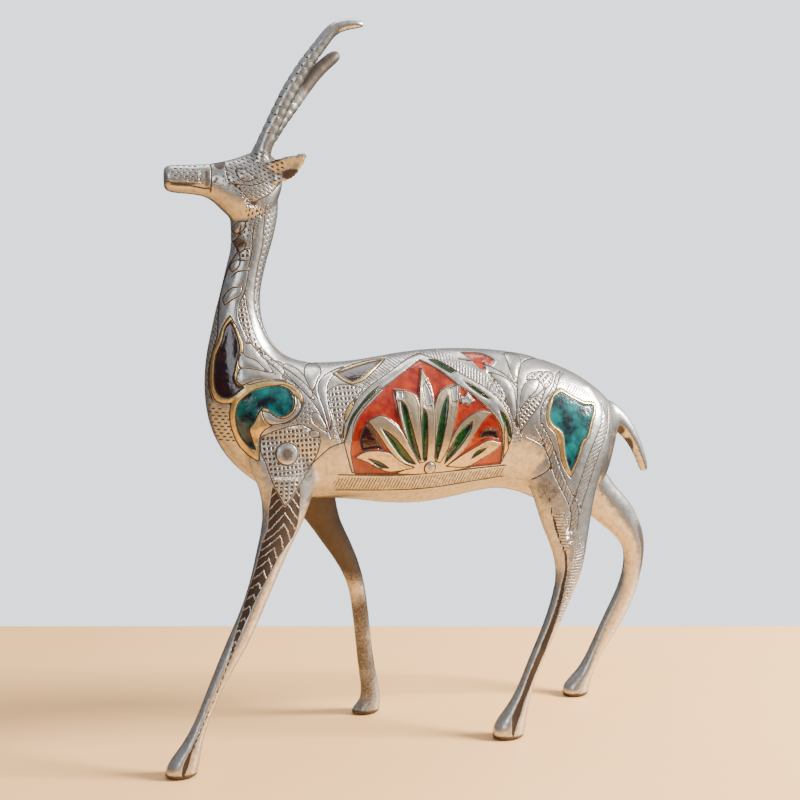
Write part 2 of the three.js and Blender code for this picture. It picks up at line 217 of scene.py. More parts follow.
PETAL_HOLLOWS = (
    ("green", "-6.7 144.7*, -5.3 141.3, -5 131.2, -5.2 122.6*, -6.8 122.6*, -7.6 131.3, -7.6 139.7"),
    ("green", "-16.6 148.2*, -14.4 145.7, -12.9 140.3, -11.4 134.9, -9.5 128.4, -7.7 122.6*,"
              "-10.5 125.4, -13.1 130.7, -15.1 137.5, -16.4 143.7"),
    ("green", "4.4 149.8*, 4.1 144.4, 3 137.7, 1.5 130.6, -0.5 122.4*, -1.5 126.8, -1 133.6,"
              "0.2 140.3, 2 146.1"),
    ("green", "-25.5 137*, -21.2 134.3, -17.5 130.6, -13.8 126, -9.8 121*, -13.8 122.1, -17.7 125.7,"
              "-21.8 131.2"),
    ("green", "14.9 138.8*, 14.2 134.8, 11.4 130.4, 7.6 125.6, 2.8 120.7*, 4.2 125.7, 6.7 130.4,"
              "9.8 135"),
    ("green", "-30.8 124.3*, -27.3 123.3, -24 121.7, -21.5 119.8*, -25.8 120.6"),
    ("green", "21.7 126.9*, 18.9 124.6, 15 122.4*, 17 125.4"),
    ("bright", "-6.4 153.4*, -5 155.6*, -3.1 150.6, -3 145.4*, -5.8 145.4*"),
    ("bright", "5.6 152.7*, 9.5 153.8*, 8.6 147.2*, 6.1 146.8*"),
    ("bright", "-18.4 152.2*, -15.2 151.8*, -15.2 148.9*, -17.5 147.6*"),
)
FAN_BASE = "-19 117.3*, -11 120.2, -6.4 122.9, -3.5 123.6, -0.8 122.9, 4 120.4, 15 118.6*, 6 117.2, -8 116.6"
SIDE_POCKETS = (
    ("maroon", "-31.9 138.8*, -29.4 136.7, -26.6 132, -24.1 127.9*, -28 128.4, -33.6 127.6*, -34.4 131.8,"
               "-33.4 136"),
    ("maroon", "26.6 134.6*, 27.2 130.6*, 22.1 131.9, 18.3 131.2*, 21 134.9"),
    ("bright", "9.9 149.8*, 11.6 148.9, 12.8 150.4*, 14.4 148.7, 16.3 146.9*, 14.4 146.2, 13.6 145*,"
               "12 146.3, 10.2 145.8*"),
)
FAN_KNOB_CENTRE = (-3.5, 119.2)
FAN_KNOB_RADIUS = 2.5
print("petals in a fan:", len(PETALS))

# %% [markdown]
# ## The shoulder and the rump
# A flame and a comma in enamel lie on the shoulder with long leaves springing from them, a hatched
# shield covers the top of the fore leg, and a triangular cell fills the thigh. Each could be a piece
# of its own, but a smith cuts them all into one surface, so they are outlines in the same drawing.

# %% The flame, the comma, the shield and the thigh
SHOULDER_WORK = (
    ("gold", "-85.6 183.6*, -82.6 177.5, -80.6 171, -82 164.5, -82.9 159.5, -80.6 156.6, -78 154.6*,"
             "-83 150.6, -87.4 147.9, -92 149, -94 154.9, -94 160.6, -93 167.5, -90.4 173.6, -88.6 179"),
    ("maroon", "-85.4 181.5*, -83.8 177.7, -82.2 170.8, -83.6 164.7, -84.9 158.7, -83.9 155.5*,"
               "-81.2 154.5*, -83.6 152.5, -87.1 150.2, -90.7 151.1, -92.3 154.9, -92.3 160.6,"
               "-91.4 167.5, -89 173.2, -87.6 178.5"),
    ("leaf", "-81.7 168.8*, -79.8 166.9, -75.8 165.2, -71.1 160.8, -64.5 157, -59.7 154*, -65.4 155.3,"
             "-71.3 158.6, -76.1 160.6, -82 162.1, -82.9 164.7"),
    ("leaf_b", "-82.4 161.9, -79.2 162.1, -74 161.1, -67.2 159.3, -62.3 156.8*, -67.7 157.5,"
               "-73.4 157.8, -77.9 157.1, -81.9 155.3*, -84 157.5"),
    ("gold", "-86.4 147.8, -84.4 151.7, -79.6 155.3, -72.2 157, -64.4 156.4, -59 153.2, -57.5 148.4,"
             "-59.6 143.4, -64.2 140, -70.6 138.9, -74.6 136.1, -75.8 131.6, -75.8 124.3*, -79.8 126.8,"
             "-83.6 131.3, -86 137.1, -87 142.5"),
    ("leaf", "-58.6 147.8, -60 143.9, -64.4 140.6, -70.4 139.4, -73.4 141.2, -74.6 145.2*, -71.5 144.2,"
             "-69 142.4, -65.6 141.8, -61.8 144.2, -60.2 148.4, -61 151.6*"),
    ("teal", "-84.1 147, -81.5 150.5, -76.1 153.9, -68.3 155.1, -62.9 153.2, -61.2 149.2, -62.4 145,"
             "-65.9 142.7, -69.5 143.5, -72.4 145.8, -74.2 146.2*, -76.2 143.4, -77.7 140.2, -79.4 137.7,"
             "-78.6 134.4, -77.2 129.3*, -79.2 130.1, -81.8 133.1, -83.8 137, -84.7 142.1"),
    ("leaf_b", "-71.5 165.5*, -67.2 165, -64.2 163.5, -64.1 160.4, -66.3 158.1*, -69.4 161.3"),
    ("leaf", "-63.9 163.9*, -61.2 163, -57.7 161, -55.1 157, -53.7 152.3, -52.8 148.3*, -56.2 151.5,"
             "-60 155.6, -63.3 159.2, -64.5 162"),
    ("leaf_b", "-55.5 160.9*, -53.8 162.9, -49.9 163.5, -48.4 162.3, -48.5 160, -50.9 156.9, -53.3 152.3*,"
               "-54.9 155.4, -55.7 158.2"),
    ("leaf", "-51.1 154.2, -49.6 156.9, -47 159, -42.6 160.8, -37.9 162.1*, -42.2 159.5, -45.3 157.2,"
             "-47.2 153.7, -47.5 148.9, -46.6 140.9, -46.5 133.9*, -49.3 145, -50.9 150.6"),
    ("leaf_b", "-54.3 143.5, -52.2 144, -50.3 141.8, -48.7 138.5, -47.5 135.2*, -51.2 137.7, -54 140.2"),
    ("leaf", "-55.9 135.8, -53.7 136.8, -51.4 135.7, -51.7 134, -54.5 133.9"),
)
SHOULDER_HATCHING = (
    ("grid", 4, "-74.9 134.4*, -68.6 137.2, -58.9 139.3, -52.9 136.1, -51.2 131.6, -53.9 123.6,"
                "-61.6 112.3, -66.3 106.1*, -70.8 115.8, -73.5 124, -75.3 128.8"),
    ("grid", 3, "-47.2 152.1, -43.7 154.4, -39.4 155.1, -34.9 154.3, -32.1 153*, -36.4 149.1,"
                "-39.2 145.5, -40.9 141.5, -41.7 136.6, -42.5 132.1*, -45.3 140.8, -47 147.3"),
    ("dashes", 0, "-94.8 148, -92.5 146.7, -89 146.1, -86.8 143.3, -86 138, -84.4 133, -87.2 132.3,"
                  "-92 132.4, -94.4 137.8, -95.5 143.1"),
    ("dashes", 40, "-59 147.6, -56.5 149.1, -54.1 146.7, -53.4 144.3, -55.2 142.7, -55.4 138,"
                   "-58.2 139.2, -63.4 139.6, -60.1 142.8"),
)
SHIELD_BOSS_CENTRE = (-64.8, 127.4)
SHIELD_BOSS_RADIUS = 4.6
RUMP_WORK = (
    ("gold", "-43.6 159.4*, -35.5 162.3, -26.8 164.2, -19.4 165*, -27.1 159.5, -31.6 156.3,"
             "-36.6 154.9*, -40.4 156.6"),
    ("maroon", "-41.7 159.7*, -35.5 161.3, -27.8 163.2, -21.4 164.4*, -27.9 160.3, -32.4 157.3,"
               "-36.4 155.9*, -39.4 157.4"),
    ("red", "14 167*, 22.2 166.7, 26 165.4, 28.2 163.6*, 25.4 161.6, 23.4 163.4, 22.8 159.5*,"
            "20 160.6, 17.6 163.8"),
    ("leaf", "36.4 142.3*, 37.2 148.6, 39.2 152.8, 43 155.3, 47 154.8, 44.7 150.5, 41 147.7"),
    ("leaf_b", "34.1 166.5*, 38.1 166.8, 41.5 165.9*, 40.6 162.7, 37.5 157, 36.2 153.2*, 34.1 159.1"),
    ("leaf", "34.8 135.4*, 35.1 143.6, 34.5 151.2, 32.4 155.6, 27.7 158, 23.8 158.9*, 26 156.4,"
             "29.5 151.3, 31.3 145.4"),
    ("gold", "57.4 151.6*, 61.5 148.7, 65 147, 69 145.2, 74.2 144.6, 74.4 141, 72 136.6, 69.4 130,"
             "66.6 126.8, 64 120.5, 60 112.4*, 56.2 118.6, 54.6 127.4, 53 132, 49.8 135.4, 48.8 139.5,"
             "49.9 144.7, 52.6 149.4"),
    ("teal", "57.2 149.7*, 61.1 147.4, 64.5 145.7, 68.7 144, 73 143.4, 72.9 140.9, 70.8 137, 68 130.1,"
             "65.4 127.9, 62.7 120.5, 59.8 115.4*, 57.9 121.6, 57.3 130.4, 55.4 133.5, 52 136,"
             "50.6 139.5, 51.7 143.9, 53.3 147.7"),
)
RUMP_HATCHING = (
    ("grid", 60, "33.6 141*, 33.2 147.9, 31.5 152.9, 28.3 156.3, 24.4 157.7*, 26.8 152.2, 29.9 146.2"),
    ("grid", 35, "40.8 155.2*, 43.4 158.2, 52.9 158.6, 54.9 156.6, 52.6 153.2, 49.3 151.6, 47 154.9,"
                 "43.2 155.4"),
    ("grid", 50, "41.1 147.7*, 44.5 148.4, 50 152.5*, 47.8 147.9, 45.6 144.1, 41.5 139.5, 36.9 132.8*,"
                 "36.4 141.8"),
    ("strokes", 115, "58 154.3*, 65.3 152.3, 72.7 148.1, 66.8 147.6, 61.2 149.5"),
    ("strokes", 62, "51.4 97*, 56.3 97.8, 59.1 94.2, 61.2 86.6, 57.9 79.7*, 54.4 87.7"),
    ("strokes", -38, "-42.8 116, -20 115.4, 0 116, 31.4 117.6*, 31.4 113.8*, 0 110.6, -20 110.2,"
                     "-42.8 111*"),
)
print("outlines on the shoulder and the rump:", len(SHOULDER_WORK) + len(RUMP_WORK))

# %% [markdown]
# ## The neck, the head and the single cuts
# The neck and the head carry small sprigs, rows of short dashes and bands of stippling, and long
# single cuts tie the patches together. A cut is an open line without a width. The relief and the
# material give it the width of the graver.

# %% The neck, the head and the cut lines
NECK_WORK = (
    ("leaf", "-82 211.7*, -80.2 213.2, -78.4 212.7*, -79.6 210.1, -81.7 209.3*"),
    ("leaf_b", "-85.2 202.9*, -83.6 205.5, -81 206.5*, -81.5 203.5, -84.2 201.3*"),
    ("leaf", "-88.2 190*, -86.5 193.1, -84.1 194.9, -80.2 195.1*, -81.1 192.1, -84.6 189.9, -87.5 187.7*"),
    ("leaf_b", "-83.9 219*, -81.6 221.6, -78.6 221.8*, -79.4 218.4, -82.6 216.6*"),
)
NECK_HATCHING = (
    ("grid", 0, "-81.2 210.1*, -77 210.9*, -76.6 206.1*, -81 205.7*"),
    ("grid", 8, "-79.3 192.7*, -78.4 186.1, -76.1 177.7, -74 172.2, -69.6 166.5, -64 162.7*,"
                "-66.6 160.8*, -71.5 165.3, -76.1 170.5, -79.2 175.3, -81.6 180.9, -82.2 184.1,"
                "-81.4 189"),
    ("strokes", 8, "-88.3 196*, -89 189.8, -90 182.5, -90.7 175.2, -92.5 169.5, -94.1 162.1, -94.3 153.9,"
                   "-93.2 149.1*, -98 150*, -98 166, -95 180, -92 196*"),
    ("dashes", 76, "-70.5 228.3, -71.1 220.3, -71.9 211.2, -73.5 204.3, -74.8 196.3, -75.3 189.8,"
                   "-74.5 184.1, -71.1 176.7, -66.9 170.3, -58 164.5*, -60 172, -66.8 180, -70 192,"
                   "-68 203, -65.4 212, -63.2 228*"),
    ("dashes", 78, "-79.5 230.1, -73.8 227.8, -72 225.5, -73.6 217.4, -76.9 214.2, -80.7 215.8,"
                   "-82.2 219.9, -78.5 223.8"),
)
HEAD_HATCHING = (
    ("dashes", -2, "-108.4 245.5*, -96.5 246*, -96.3 236.8, -102 237.6, -108.2 239.2*"),
    ("pits", 0, "-96 246*, -92.6 246*, -92.6 233.6*, -96 234*"),
    ("pits", 0, "-91.4 241*, -84.8 240.2*, -84.4 234.6, -88 234.2, -91.6 234.6*"),
    ("dashes", -28, "-84.2 247.7, -86.1 242.1, -86.5 238.1, -85 235.3, -81.1 232.1, -76.3 228.6*,"
                    "-73.9 229.4, -69.7 232.3, -64.2 237.1, -63.3 241.6, -62.8 246.3*, -66 252*,"
                    "-78 252*"),
)
EYE = "-83 242.4*, -79.7 242.8, -77 240.9, -74.2 239*, -77.9 237.6, -81 238.5"
CUT_LINES = (
    "-80.4 219.8, -81.5 215.8, -83 213.4, -82.1 209.5, -85 204.1, -87.9 195.1, -89.1 189.8, -90 182.5,"
    "-90.7 175.2, -92.5 169.5, -94.1 162.1, -94.3 153.9, -93.2 149.1",
    "-75.2 220.2, -76.1 214.2, -76.4 208.3, -77.5 204.2, -78.2 198.2, -79.5 193.1, -81.4 189,"
    "-82.2 184.1, -81.6 180.9, -79.2 175.3, -76.1 170.5, -71.5 165.3, -65.7 160, -58.5 153.9,"
    "-53.3 147.5, -49.1 140.1, -46.7 133.5",
    "-70.5 228.3, -71.1 220.3, -71.9 211.2, -73.5 204.3, -74.8 196.3, -75.3 189.8, -74.5 184.1,"
    "-71.1 176.7, -66.9 170.3, -61.7 165.5",
    "-37.9 132.4, -37 139, -33.3 145, -25.9 151.7, -16.9 157.6, -7.3 163.5",
    "34.8 135.4, 35.4 144.8, 36.4 153.2, 38.4 159.5, 42.4 163.1, 49.8 164.2, 54.4 163.2",
    "59.7 158.4, 56.5 156.6, 52.8 151.5, 48.1 145.8, 46.3 141.8, 46.2 137, 48.6 132.9, 51 128.9,"
    "53.5 123.9, 55 117.9, 57.6 111.8",
    "61.4 157.6, 58.2 155.8, 54.4 150.7, 49.9 145, 48 141.4",
    "-42.8 117.6, -20 116.4, 0 116.8, 31.4 118.6",
    "-42.8 110.4, -20 109.6, 0 110, 31.4 113.4",
    "-80 172.4, -75 170.6, -66 163.6, -57 156.4, -51.4 149.6",
    "-76 152.6, -66 155.4, -60.4 152.6",
    "-57 120.5, -52 125, -47.1 129.4, -40.8 131.7",
    "36 152, 31 158, 22 162.4, 12 164.6",
    "37.4 132, 35.6 138, 35.2 146",
    "-83.5 214, -82 210.8, -81.5 209",
    "-84.3 199.3, -82.2 201.3, -78.8 201.8",
    "-109.7 237.4, -106.6 236.4, -102.2 235.9, -97.4 235.2, -93.5 234.5",
    "-92 246, -92.2 240, -92.4 233.6",
    "-84.3 236.8, -80.6 233.6, -76.3 229, -72 223.4",
    "-76.3 229, -69.7 232.3, -64.2 237.1",
    "-86.5 243.6, -85.4 237.6, -79.9 236.2, -75.2 236.2, -71.4 237.6",
    "44 112, 51 118, 47 127, 40 131",
)
BRAID = curve("80.9 144.1, 80 138.7, 78 133.3, 74.3 127.1, 70 118.5, 66.9 110.4, 63.8 102.7, 61.4 95.8",
              closed=False)
CHAIN = curve("45.3 136.4, 49.2 129.3, 51.7 122.2, 53.7 116.2, 56.2 110.1, 59.5 103.8, 61.9 97.6,"
              "61.2 89.2", closed=False)
ZIGZAG = curve("62 88, 64.3 82.4, 63.8 77.1, 61.7 71.2, 58.9 64.3, 56.4 57.5, 53.6 50.7", closed=False)
FRAME_EDGE = curve(FRAME_OUTLINE)[: 13 * CURVE_STEPS]
MANE_ROPE = curve("-62.6 232, -63.6 224.4, -66 214.3, -68.8 205.3, -70.6 195.9, -71.2 187.8, -69.6 179.6",
                  closed=False)
print("cut lines:", len(CUT_LINES))

# %% [markdown]
# ## Laying the drawing on the skin
# Every finish gets a field: for each vertex, how deep it lies inside a patch of that finish, in
# millimetres, or how far outside. A patch that is laid later covers those below, as a smith's later
# cut would. The signed distances go straight through zero at an edge, so the edge that the material
# draws between two vertices is straight and sharp.

# %% Fields for the finishes
INLAYS = ("maroon", "red", "teal", "green")
METALS = ("bright", "gold", "petal", "petal_b", "leaf", "leaf_b", "grid")
TOOLINGS = ("strokes", "dashes", "pits", "rope", "herring")
BACK_START = -60.0
BACK_HEIGHTS = (150.0, 176.0)
SPINE_HALF_WIDTH = 6.0
LEG_TOP = 100.0
HORN_FOOT = 250.5


def read_skin():
    """Takes the skin's points and normals into arrays, in mm."""
    global points, normals, side, flank, outer, field, pattern, cut, cut_gap
    count = len(deer.data.vertices)
    points = np.empty(count * 3)
    deer.data.vertices.foreach_get("co", points)
    points = points.reshape(-1, 3) / MM
    normals = np.empty(count * 3)
    deer.data.vertex_normals.foreach_get("vector", normals)
    normals = normals.reshape(-1, 3)
    side = np.where(points[:, 1] < 0, -1.0, 1.0)
    flank = points[:, [0, 2]]
    outer = (normals[:, 1] * side > -0.15) | (points[:, 2] > LEG_TOP + 12)
    field = {name: np.full(count, -REACH) for name in INLAYS + METALS + TOOLINGS}
    pattern = np.zeros((count, 2))
    cut = np.full(count, REACH)
    cut_gap = np.full(count, REACH)


def close_to(line, margin=REACH):
    """The outer vertices in the box around a line."""
    low = line.min(0) - margin
    high = line.max(0) + margin
    boxed = ((flank > low) & (flank < high)).all(1)
    return np.flatnonzero(boxed & outer & (points[:, 2] < HORN_FOOT))


def lay(kind, outline, angle=None, line=None):
    """Lays a patch over what is there. Its pattern runs at an angle or along a line."""
    near = close_to(outline)
    depth = np.clip(inside(flank[near], outline), -REACH, REACH)
    for name, values in field.items():
        if name == kind:
            values[near] = np.maximum(values[near], depth)
        else:
            values[near] = np.minimum(values[near], -depth)
    marked = near[depth > -SKIN_EDGE / MM]
    if line is not None:
        distance, turned, along = beside(flank[marked], line)
        pattern[marked] = np.stack([along, distance * turned], axis=1)
    elif angle is not None:
        turn = math.radians(angle)
        axes = np.array([[math.cos(turn), -math.sin(turn)], [math.sin(turn), math.cos(turn)]])
        pattern[marked] = flank[marked] @ axes


def engrave(line):
    """Cuts a line: keeps each vertex's signed distance from the nearest line, and the plain one."""
    near = close_to(line)
    distance, turned, along = beside(flank[near], line)
    nearer = distance < cut_gap[near]
    cut_gap[near[nearer]] = distance[nearer]
    cut[near[nearer]] = (distance * turned)[nearer]


def lay_flank_work():
    """Lays all patches of both flanks in order."""
    back = (points[:, 0] > BACK_START) & (normals[:, 2] > 0.5)
    back &= (points[:, 2] > BACK_HEIGHTS[0]) & (points[:, 2] < BACK_HEIGHTS[1])
    spine = SPINE_HALF_WIDTH - np.abs(points[:, 1])
    field["pits"][back] = np.maximum(field["pits"], spine)[back]
    lay("strokes", ribbon(FRAME_EDGE, 4.6), line=FRAME_EDGE)
    lay("rope", ribbon(MANE_ROPE, 2.6), line=MANE_ROPE)
    for kind, angle, text in NECK_HATCHING + HEAD_HATCHING + SHOULDER_HATCHING + RUMP_HATCHING:
        lay(kind, curve(text), angle=angle)
    lay("rope", ribbon(BRAID, 2.4), line=BRAID)
    lay("rope", ribbon(CHAIN, 1.7), line=CHAIN)
    lay("strokes", ribbon(ZIGZAG, 2.6), line=ZIGZAG)
    for kind, text in NECK_WORK + SHOULDER_WORK + RUMP_WORK:
        lay(kind, curve(text))
    lay("leaf", curve(FRAME_OUTLINE))
    lay("red", curve(ARCHED_CELL))
    lay("petal_b", curve(FAN_BASE))
    for kind, text in FRAME_INLAYS + PETALS + PETAL_HOLLOWS + SIDE_POCKETS:
        lay(kind, curve(text))
    lay("bright", circle(SHIELD_BOSS_CENTRE, SHIELD_BOSS_RADIUS))
    lay("bright", circle(FAN_KNOB_CENTRE, FAN_KNOB_RADIUS))
    for text in CUT_LINES:
        engrave(curve(text, closed=False))
    for band, half_width in ((BRAID, 2.4), (CHAIN, 1.7)):
        edges = ribbon(band, half_width)
        engrave(edges[: len(band)])
        engrave(edges[len(band):])


read_skin()
lay_flank_work()
print("vertices in enamel:", int(sum((field[name] > 0).sum() for name in INLAYS)))

# %% [markdown]
# ## Finer faces where the work is fine
# The rims of the cells and petals are under half a millimetre wide, finer than the net. Making the
# whole net finer would cost four times the faces, so only the faces near an enamel edge are selected
# and subdivided once, and the fields are laid again on the new vertices.

# %% Subdivide along the enamel edges
FINE_MARGIN = 0.95
enamel_edge = np.min([np.abs(field[name]) for name in INLAYS + ("petal", "petal_b")], axis=0)
corner_vertices = np.empty(len(deer.data.loops), dtype=np.int32)
deer.data.loops.foreach_get("vertex_index", corner_vertices)
face_starts = np.empty(len(deer.data.polygons), dtype=np.int32)
deer.data.polygons.foreach_get("loop_start", face_starts)
fine_faces = np.minimum.reduceat(enamel_edge[corner_vertices], face_starts) < FINE_MARGIN
bpy.ops.object.mode_set(mode="EDIT")
bpy.ops.mesh.select_mode(type="FACE")
bpy.ops.mesh.select_all(action="DESELECT")
bpy.ops.object.mode_set(mode="OBJECT")
deer.data.polygons.foreach_set("select", fine_faces)
bpy.ops.object.mode_set(mode="EDIT")
bpy.ops.mesh.subdivide(number_cuts=1)
bpy.ops.mesh.select_all(action="DESELECT")
bpy.ops.object.mode_set(mode="OBJECT")
read_skin()
lay_flank_work()
triangles = sum(len(face.vertices) - 2 for face in deer.data.polygons)
print("faces made finer:", int(fine_faces.sum()), "triangles now:", triangles)

# %% [markdown]
# ## The legs
# A dark groove runs down the outside of each leg: a broad band with bright herringbone cuts at the
# top of the fore legs, a hair line below it, and a broad black line on the shins of the hind legs.
# The legs lean and taper, so the groove is written as a share of the leg's depth from its front edge.
# That depth is measured on the skin itself, level by level.

# %% The grooves of the legs
LEG_SPLIT_X = 10.0
FORE_GROOVE = (
    (118, 0.62, 5.5), (106, 0.55, 6.2), (93, 0.47, 6), (86, 0.36, 4), (79, 0.3, 2.9), (71, 0.22, 1.9),
    (62, 0.2, 1.3), (54, 0.26, 0.8), (47, 0.38, 0.45), (38, 0.52, 0.35), (31, 0.6, 0.35), (24, 0.6, 0.35),
    (17, 0.52, 0.4), (11, 0.48, 0.6), (6, 0.5, 1.2), (0, 0.5, 0.4),
)
HIND_GROOVE = (
    (110, 0.06, 0.2), (104, 0.12, 0.3), (96, 0.18, 0.4), (85, 0.21, 0.5), (79, 0.27, 0.5),
    (74, 0.27, 0.5), (65, 0.22, 0.7), (55, 0.3, 0.9), (46, 0.38, 1.2), (37, 0.45, 1.5), (27, 0.45, 1.4),
    (17, 0.4, 1.1), (11, 0.42, 1.8), (5, 0.5, 0.9), (0, 0.5, 0.3),
)


def share_of_depth(own):
    """Each own vertex's share of the leg's depth, from its front edge, and that depth in mm."""
    x = points[own, 0]
    z = points[own, 2]
    leg_part = z < LEG_TOP - 2
    level = z[leg_part].astype(int)
    front = np.full(level.max() + 1, np.inf)
    back = np.full(level.max() + 1, -np.inf)
    np.minimum.at(front, level, x[leg_part])
    np.maximum.at(back, level, x[leg_part])
    heights = np.arange(len(front)) + 0.5
    front_here = np.interp(z, heights, front)
    depth_here = np.interp(z, heights, back - front)
    return (x - front_here) / depth_here, depth_here


groove = np.full(len(points), -REACH)
leg_share = np.full(len(points), 0.5)
legs = {}
for name, is_left, is_fore in (("left_fore", True, True), ("right_fore", False, True),
                               ("left_hind", True, False), ("right_hind", False, False)):
    top = 118 if is_fore else 110
    own = ((points[:, 1] < 0) == is_left) & ((points[:, 0] < LEG_SPLIT_X) == is_fore)
    own &= points[:, 2] < (top if is_left else LEG_TOP - 4)
    if is_fore and is_left:
        own &= (points[:, 0] > -82) | (points[:, 2] < 104)
        own &= (points[:, 0] < -52) | (points[:, 2] < LEG_TOP)
    own = np.flatnonzero(own)
    legs[name] = own
    share, depth = share_of_depth(own)
    leg_share[own] = share
    heights, shares, halves = np.array(sorted(FORE_GROOVE if is_fore else HIND_GROOVE)).T
    offset = (share - np.interp(points[own, 2], heights, shares)) * depth
    inside_groove = np.interp(points[own, 2], heights, halves) - np.abs(offset)
    faces_out = soft_step(normals[own, 1] * side[own], -0.1, 0.2)
    groove[own] = np.where(faces_out > 0.5, inside_groove, -REACH)
    if is_fore:
        herring = own[(groove[own] > -0.6) & (points[own, 2] > 46)]
        field["herring"][herring] = np.clip(groove[herring], -REACH, REACH)
        pattern[herring, 0] = points[herring, 2]
        placed = np.isin(own, herring)
        pattern[herring, 1] = offset[placed]
covered = np.max([field[name] for name in ("grid", "gold", "leaf")], axis=0)
groove = np.minimum(groove, -covered - 0.3)
field["herring"] = np.minimum(field["herring"], -covered - 0.3)
print("vertices in the grooves:", int((groove > 0).sum()))

# %% [markdown]
# ## The horns
# Both horns are ringed. The rings are notches filed across the front of the horn, one every few
# millimetres, and they fade out before the smooth tip. The notch depends only on how far along the
# horn a point lies, so each horn's middle line is written down and every vertex is measured along it.

# %% Notches along the horns
NEAR_HORN = np.array([(-72.6, -4.4, 244), (-67.6, -5.7, 259.5), (-59.5, -7.2, 276.1), (-53.8, -8, 285.2),
                      (-47.6, -8.7, 293.5), (-42.6, -9.1, 299.7), (-37, -9.4, 302), (-29.8, -9.7, 302)])
FAR_HORN = np.array([(-72.6, 4.6, 244), (-66.2, 6, 257.5), (-54.2, 7.5, 274.2), (-42.8, 9, 288),
                     (-35.6, 9.6, 293.8)])
FIRST_NOTCH = 12.0
NOTCH_PITCH = 3.75
LAST_NOTCH = {"near": 57.0, "far": 40.0}
horn_along = np.full(len(points), -1.0)
horn_notch = np.zeros(len(points))
horn_back = np.zeros(len(points))
horns = {}
for name, line, turn in (("near", NEAR_HORN, -1), ("far", FAR_HORN, 1)):
    own = np.flatnonzero((points[:, 2] > HORN_FOOT - 1) & (side == turn))
    distance, turned, along = beside(flank[own], line[:, [0, 2]])
    across = -distance * turned
    wave = np.abs((along - FIRST_NOTCH) / NOTCH_PITCH % 1 - 0.5) * NOTCH_PITCH
    shown = soft_step(along, FIRST_NOTCH - 3, FIRST_NOTCH) * (1 - soft_step(along, LAST_NOTCH[name] - 5,
                                                                          LAST_NOTCH[name] + 3))
    horn_notch[own] = shown * soft_step(0.75 - wave, 0, 0.75)
    horn_along[own] = along
    horn_back[own] = across
    horns[name] = own
print("notched vertices:", int((horn_notch > 0.5).sum()))

# %% [markdown]
# ## Relief
# The enamel lies a little below the metal, rims and petals stand up, leaves swell between their cuts,
# and the boss on the shield is a low dome. All of it is less than a millimetre, and it is real shape
# here: one map of heights is split into a raised and a sunk vertex group, and two Displace modifiers
# push the skin along its normals by those weights.

# %% Raise and sink the skin
ENAMEL_DEPTH = 0.34
RIM_HEIGHT = 0.2
LEAF_SWELL = 0.24
PETAL_SWELL = 0.3
LINE_DEPTH = 0.22
GROOVE_DEPTH = 0.35
NOTCH_DEPTH = 0.3
BOSS_HEIGHT = 0.9
EYE_HEIGHT = 0.5
RELIEF = 1.2


def dome(centre, radius, height):
    """A low dome on the flanks, and how deep each vertex lies in its ring."""
    distance = np.hypot(flank[:, 0] - centre[0], flank[:, 1] - centre[1])
    distance = np.where(outer & (points[:, 2] < HORN_FOOT), distance, radius + REACH)
    return height * np.sqrt(np.clip(1 - (distance / radius) ** 2, 0, 1)), radius - distance


def groove_shape(distance, half_width):
    return 1 - soft_step(np.abs(distance), 0, half_width)


inlay = np.max([field[name] for name in INLAYS], axis=0)
petal = np.maximum(field["petal"], field["petal_b"])
leaf = np.max([field[name] for name in ("leaf", "leaf_b", "gold")], axis=0)
leaf_edge = np.min([np.abs(field[name]) for name in ("leaf", "leaf_b", "gold", "grid")], axis=0)
petal_edge = np.minimum(np.abs(field["petal"]), np.abs(field["petal_b"]))
boss, boss_ring = dome(SHIELD_BOSS_CENTRE, SHIELD_BOSS_RADIUS, BOSS_HEIGHT)
knob, knob_ring = dome(FAN_KNOB_CENTRE, FAN_KNOB_RADIUS, BOSS_HEIGHT)
eye_outline = curve(EYE)
eye = np.full(len(points), -REACH)
eye_near = close_to(eye_outline)
eye[eye_near] = inside(flank[eye_near], eye_outline)

height = -ENAMEL_DEPTH * soft_step(inlay, -0.1, 0.55)
height += RIM_HEIGHT * (1 - soft_step(np.abs(inlay + 0.35), 0.15, 0.6))
height += RIM_HEIGHT * (1 - soft_step(np.abs(petal_edge), 0, 0.6)) * (petal > -0.5)
height += PETAL_SWELL * soft_step(petal, 0, 1.6)
height += LEAF_SWELL * soft_step(leaf, 0.2, 1.8)
height -= LINE_DEPTH * groove_shape(leaf_edge, 0.55)
height -= LINE_DEPTH * groove_shape(cut_gap, 0.6)
height -= GROOVE_DEPTH * soft_step(groove, -0.3, 0.9)
height -= NOTCH_DEPTH * horn_notch
height += boss - LINE_DEPTH * groove_shape(boss_ring, 0.7)
height += knob
height += EYE_HEIGHT * soft_step(eye, 0, 1.8) - LINE_DEPTH * groove_shape(eye, 0.6)

for name, weights, direction in (("raised", height, 1), ("sunk", -height, -1)):
    group = deer.vertex_groups.new(name=name)
    shares = np.clip(weights / RELIEF, 0, 1)
    for index in np.flatnonzero(shares > 0):
        group.add([int(index)], float(shares[index]), "REPLACE")
    modify("DISPLACE", direction="NORMAL", vertex_group=name, mid_level=0,
           strength=direction * RELIEF * MM)
print("relief from", round(float(height.min()), 2), "to", round(float(height.max()), 2), "mm")
